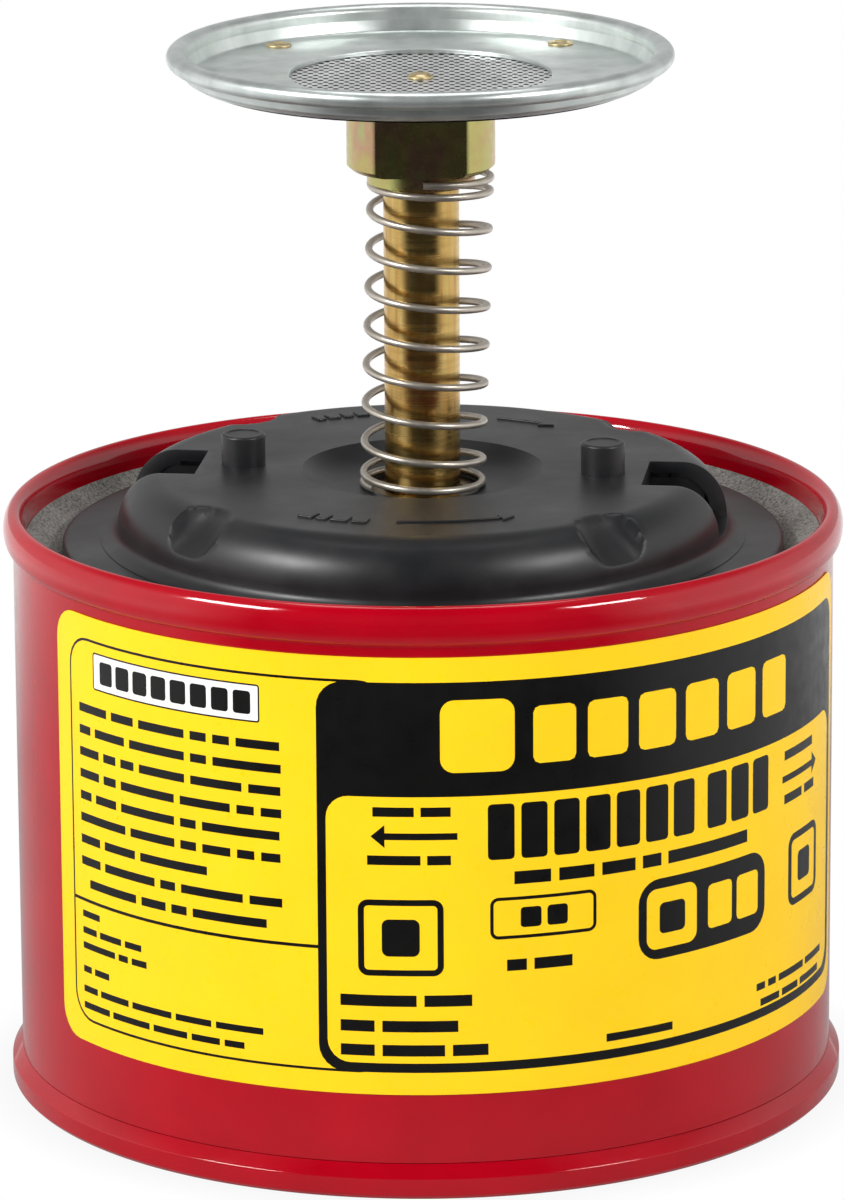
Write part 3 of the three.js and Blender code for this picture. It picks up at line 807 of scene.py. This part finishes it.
def slot_pockets():
    """Floor, end and side walls under each slot, and below them the lug that locks the lid."""
    wall, under, top = 0.7, SLOT_FLOOR - 1.0, LID_TOP - 1.6
    half, outside = SLOT_HALF, SLOT_HALF + wall
    blocks = []
    for side in (-1, 1):
        inner = side * SLOT_INNER
        blocks.append(box_block(*sorted((side * 34.5, side * 44.0)), -half, half, 80.0, 82.0))
        blocks.append(box_block(*sorted((inner, side * 42.4)), -half, half, under, SLOT_FLOOR))
        blocks.append(box_block(*sorted((inner - side * wall, inner)), -outside, outside, under, top))
        for y in (-outside, half):
            blocks.append(box_block(*sorted((inner, side * 41.2)), y, y + wall, under, top))
    return blocks


def lid_cover():
    """The moulding with its posts, boss, pockets and marks, slightly tilted as it lies in the photo."""
    tilt = Matrix.Rotation(LID_TILT, 4, "X")
    settle = Matrix.Translation((0, 0, LID_TOP)) @ tilt @ Matrix.Translation((0, 0, -LID_TOP))
    turn = settle @ Matrix.Rotation(LID_TURN, 4, "Z")
    shell = piece("lid_moulding", moved(lid_shell(), turn), "lid", BLACK, ["lid_cover"])
    thicken(shell, LID_THICKNESS).use_even_offset = True
    soften(shell, 0.3)

    parts = merged(*lid_posts(), pump_boss(), *slot_pockets(), raised_marks())
    trim = piece("lid_details", moved(parts, turn), "lid", BLACK, ["lid_cover"])
    soften(trim, 0.12)


# The pump and its pan -----------------------------------------------------------------------------


def gasket():
    """Rubber ring between the filling neck and the lid."""
    inner, outer, bottom, top = 28.0, 32.0, 85.8, 89.6
    corners = [(inner, bottom), (outer, bottom), (outer, top), (inner, top)]
    outline = rounded([(r, z, 0.6) for r, z in corners])
    piece("gasket_ring", revolved(outline), "seal", RUBBER, ["lid_gasket"])


def bush():
    """Guide for the rod, set into the lid."""
    bottom, shoulder, top = 82.8, BARREL_TOP, 89.5
    outline = rounded([
        (ROD_HOLE, bottom), (9.6, bottom, 0.3), (9.6, shoulder), (8.0, shoulder), (8.0, top, 0.4),
        (ROD_HOLE, top, 0.3),
    ])
    piece("guide_bush", revolved(outline, 96), "lid", DARKENED_BRASS, ["rod_bushing"])


def barrel():
    """Tube that hangs from the lid, in which the piston moves."""
    inner, bottom = 10.0, 13.8
    outline = rounded([
        (inner, bottom), (BARREL_RADIUS, bottom, 0.3), (BARREL_RADIUS, BARREL_TOP), (inner, BARREL_TOP),
    ])
    piece("barrel_tube", revolved(outline, 128), "lid", BRASS, ["pump_barrel"])


def foot_valve():
    """Plug in the barrel's lower end, with the seat of the inlet ball."""
    port, chamber, plug = 2.4, 4.2, 9.7
    bottom, flange, top = 10.8, 13.5, 23.8
    outline = rounded([
        (port, bottom, 0.3), (BARREL_RADIUS, bottom, 0.4), (BARREL_RADIUS, flange, 0.2), (plug, flange),
        (plug, top, 0.4), (chamber, top, 0.3), (chamber, 16.3), (port, 14.8),
    ])
    piece("foot_valve", revolved(outline, 96), "lid", BRASS, ["foot_valve_body"])


def rod():
    """Hollow plunger rod, with the seat of the outlet ball in its lower end."""
    port, bore, outer = 1.6, 3.0, 5.55
    bottom, top = 55.8, 149.1
    outline = rounded([
        (port, bottom), (outer, bottom, 0.4), (outer, top), (bore, top), (bore, 59.2), (port, 57.8),
    ])
    piece("plunger_tube", revolved(outline, 96), "plunger", BRASS, ["plunger_rod"])


def spring():
    """Left-hand coil with closed ends, which leans a little to the right at its top."""
    wire, radius, start = 0.55, 8.8, math.radians(-145)
    steps, blend, slope = 440, 0.12, 0.03
    turns = [0.0, 0.7, 1.1, 1.6, 8.62, 9.867]  # where the pitch changes
    heights = [90.35, 90.42, 91.7, 93.6, 134.25, 136.5]  # of the wire's middle there
    path = []
    for turn in np.linspace(turns[0], turns[-1], steps + 1):
        z = float(np.mean(np.interp([turn - blend, turn, turn + blend], turns, heights)))
        angle = start - 2 * math.pi * turn
        lean = slope * (z - SEAT)
        path.append((lean + radius * math.cos(angle), radius * math.sin(angle), z))
    coil = piece("return_coil", swept(path, wire), "lid", SPRING, ["return_spring"])
    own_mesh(coil)


def collar():
    """Collar under the pan: flats for a wrench, a pilot for the spring and a cup for the rod."""
    outer, pilot, cup, half_flats = 10.85, 7.9, 7.4, 8.47
    bottom, pilot_top, cup_floor, top = 135.2, 137.4, 142.8, 149.6
    outline = rounded([
        (ROD_HOLE, bottom), (pilot, bottom, 0.3), (pilot, pilot_top), (outer - 0.8, pilot_top, 0.1),
        (outer, pilot_top + 0.7, 0.15), (outer, top, 0.2), (cup, top), (cup, cup_floor),
        (ROD_HOLE, cup_floor),
    ])
    part = revolved(outline, 180, flat=half_flats)
    piece("clamp_collar", part, "plunger", CHROMATE, ["rod_collar"], sharp=math.radians(20))


def pan():
    """Shallow pan with a rolled edge and a round opening over the screen."""
    opening = 19.15
    roll = ellipse_arc((35.55, 154.1), 1.45, 1.3, -92, 168, 22)
    outline = rounded([
        (opening, PAN_UNDER, 0.15), (33.1, PAN_UNDER, 0.9), (34.5, 151.5, 0.7), (34.8, 152.8), *roll,
        (34.1, 153.2, 0.6), (33.5, PAN_FLOOR, 0.5), (opening, PAN_FLOOR, 0.15),
    ])
    piece("dasher_plate", revolved(outline), "plunger", ZINC, ["dasher_pan"])


def circle(radius, steps, x=0.0, y=0.0):
    """Points round a circle about (x, y)."""
    angles = np.arange(steps) * 2 * math.pi / steps
    return [(x + radius * math.cos(a), y + radius * math.sin(a)) for a in angles]


def perforated_disc(outer, top, pitch, hole, reach, clear):
    """A flat disc with rows of round holes within reach of the middle and clear of the screw."""
    points = circle(outer, 96)
    loops = [list(range(len(points)))]
    row_step = pitch * math.sqrt(3) / 2
    rows = int(reach / row_step) + 1
    for row in range(-rows, rows + 1):
        for column in range(-rows - 1, rows + 2):
            x = (column + 0.5 * (row % 2)) * pitch
            y = row * row_step
            if clear < math.hypot(x, y) < reach:
                start = len(points)
                points += circle(hole, 10, x, y)
                loops.append(list(range(start, len(points))))
    made = delaunay_2d_cdt([Vector(p) for p in points], [], loops, 1, 1e-5)
    corners, _, triangles, _, _, owners = made
    faces = [list(t) for t, owner in zip(triangles, owners) if list(owner) == [0]]
    used = sorted({i for face in faces for i in face})
    order = {old: new for new, old in enumerate(used)}
    flat = [(corners[i][0], corners[i][1], top) for i in used]
    return flat, [[order[i] for i in face] for face in faces]


def screen():
    """Perforated screen under the pan's opening. The sides of its holes are painted dark as shade."""
    part = perforated_disc(outer=32.0, top=150.65, pitch=1.53, hole=0.46, reach=20.6, clear=2.0)
    disc = piece("perforated_screen", part, "plunger", [STEEL, HOLE_PAINTED_SHADE], ["pan_screen"])
    crisp_border(disc)
    # The rim of the thickness, which forms the sides of the holes, takes the painted shade.
    thicken(disc, 0.36).material_offset_rim = 1


def fasteners():
    """The screw in the screen's middle and four rivets in the pan's floor."""
    bottom, shank, head = 147.1, 1.2, 1.9
    screw = rounded([
        (0, bottom), (shank, bottom), (shank, PAN_UNDER), (head, PAN_UNDER, 0.1), (head, 151.0, 0.25),
        (1.2, 151.45, 0.4), (0.5, 151.3), (0, 151.3),
    ])
    piece("centre_screw", revolved(screw, 48), "plunger", FASTENER, ["screen_screw"])
    bottom, shank, ring = 150.15, 1.1, 30.5
    rivet = rounded([
        (0, bottom), (shank, bottom, 0.1), (shank, PAN_FLOOR), (head, PAN_FLOOR, 0.1), (head, 151.75, 0.2),
        (1.0, 151.95, 0.2), (0.8, 151.75, 0.1), (0, 151.75),
    ])
    for number, angle in enumerate(np.radians([47.0, 133.5, 227.0, 313.5]), start=1):
        place = Matrix.Translation((ring * math.cos(angle), ring * math.sin(angle), 0))
        part = moved(revolved(rivet, 40), place)
        piece(f"rivet_{number}", part, "plunger", FASTENER, [f"pan_rivet_{number}"])


def inner_nodes():
    """Small pieces inside the pump keep their CAD shape and take a fine material."""
    looks = {
        "inlet_strainer": STEEL, "foot_valve_ball": STEEL, "valve_stop_pin": STEEL, "rod_check_ball": STEEL,
        "piston_pin": STEEL, "piston_nut": BRASS, "piston_disc": BRASS, "piston_cup": RUBBER,
    }
    for name, material in looks.items():
        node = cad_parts[name]
        for slot in node.material_slots:
            slot.material = material


can_shell()
can_bottom()
can_head()
label_sheet()
lid_cover()
gasket()
bush()
barrel()
foot_valve()
rod()
spring()
collar()
pan()
screen()
fasteners()
inner_nodes()


# Floor, light and camera --------------------------------------------------------------------------


def stage_floor():
    """A white floor that glows with painted light. The camera sees it white with a painted contact shadow
    round the can. Reflections show a painted pattern, light at the sides and mostly dark in front.
    """
    mesh = bpy.data.meshes.new("floor")
    half = 4.0
    corners = [(-half, -half, 0), (half, -half, 0), (half, half, 0), (-half, half, 0)]
    mesh.from_pydata(corners, [], [[0, 1, 2, 3]])
    floor = bpy.data.objects.new("floor", mesh)
    bpy.context.scene.collection.objects.link(floor)
    s = Surface("white_floor", (0.88, 0.88, 0.88), 0.8, Specular_IOR_Level=0.1)
    mesh.materials.append(s.material)
    distance = s.node("ShaderNodeVectorMath", {0: s.place}, operation="LENGTH").outputs["Value"]
    # Painted reflection: what reflections see of the floor, light at the sides but darker near the can, and
    # mostly dark in front.
    sides = s.spread(distance, 0.45, 1.05, (0.18, 0.34))
    away = s.spread(distance, 0.0, 1.0, (0.06, 0.60))
    front = s.ramp(away, [(0.04, 0.36), (0.20, 0.04)])
    ahead = s.spread(s.bearing(s.place), 0.0, 1.0, (0.40, 0.72))
    reflected = s.mix(ahead, sides, front)
    # Painted contact shadow: to the camera the floor is a little darker right round the can's foot.
    painted_contact_shadow = s.spread(distance, 0.93, 1.0, (0.062, 0.070))
    path = s.node("ShaderNodeLightPath").outputs
    shown = s.mix(path["Is Camera Ray"], reflected, painted_contact_shadow)
    # The floor glows with these colours to the camera and in reflections, as painted light.
    painted_floor_glow = s.node("ShaderNodeEmission", {"Color": shown}).outputs[0]
    direct = s.calculate("MAXIMUM", path["Is Camera Ray"], path["Is Glossy Ray"])
    mixed = s.node("ShaderNodeMixShader", {0: direct, 1: s.shader.outputs[0], 2: painted_floor_glow}).outputs[0]
    s.tree.links.new(mixed, s.tree.nodes["Material Output"].inputs["Surface"])


def world_light():
    """White to the camera and an even fill. Reflections see it dark in front and overhead."""
    world = bpy.data.worlds.new("studio")
    bpy.context.scene.world = world
    world.use_nodes = True
    s = Nodes(world.node_tree)
    direction = s.node("ShaderNodeTexCoord").outputs["Generated"]
    ahead = s.spread(s.bearing(direction), 0.0, 1.0, (-1.0, 1.0))
    round_can = s.ramp(ahead, [(0.10, 0.56), (0.45, 1.10), (0.70, 0.9), (0.86, 0.10)])
    height = s.node("ShaderNodeSeparateXYZ", {0: direction}).outputs["Z"]
    reflected = s.calculate("MULTIPLY", round_can, s.spread(height, 1.0, 0.25, (0.42, 0.68)))
    path = s.node("ShaderNodeLightPath").outputs
    fill = s.mix(path["Is Glossy Ray"], 0.42, reflected)
    color = s.mix(path["Is Camera Ray"], fill, 1.0)
    s.tree.links.new(color, s.tree.nodes["Background"].inputs["Color"])


def softbox(name, azimuth, elevation, distance, width, height, power):
    """A soft rectangular light that faces the can. Azimuth 0 is in front and 90 to the right."""
    a, e = math.radians(azimuth), math.radians(elevation)
    away = Vector((math.sin(a) * math.cos(e), -math.cos(a) * math.cos(e), math.sin(e)))
    data = bpy.data.lights.new(name, "AREA")
    data.shape = "RECTANGLE"
    data.size, data.size_y = width, height
    data.energy = power
    light = bpy.data.objects.new(name, data)
    light.location = away * distance + Vector((0, 0, 0.09))
    light.rotation_euler = away.to_track_quat("Z", "Y").to_euler()
    bpy.context.scene.collection.objects.link(light)


def camera():
    """The camera that was fitted to the outlines of the photo's rim, lid, pan and foot."""
    data = bpy.data.cameras.new("camera")
    data.lens = 217.48
    data.sensor_width = 36.0
    obj = bpy.data.objects.new("camera", data)
    obj.location = (0.0, -1.03882, 0.34773)
    aim = Vector((-0.00022, 0.0, 0.0721)) - obj.location
    roll = Quaternion((0.0, 0.0, 1.0), math.radians(-0.339))
    obj.rotation_mode = "QUATERNION"
    obj.rotation_quaternion = aim.to_track_quat("-Z", "Y") @ roll
    bpy.context.scene.collection.objects.link(obj)
    bpy.context.scene.camera = obj


stage_floor()
world_light()
softbox("left_box", -57, 33, 0.9, 0.36, 0.15, 6.4)
softbox("right_box", 54, 34, 0.9, 0.30, 0.13, 3.4)
softbox("top_box", 180, 78, 1.0, 0.6, 0.4, 2.5)
camera()
bpy.context.scene.view_settings.view_transform = "Standard"
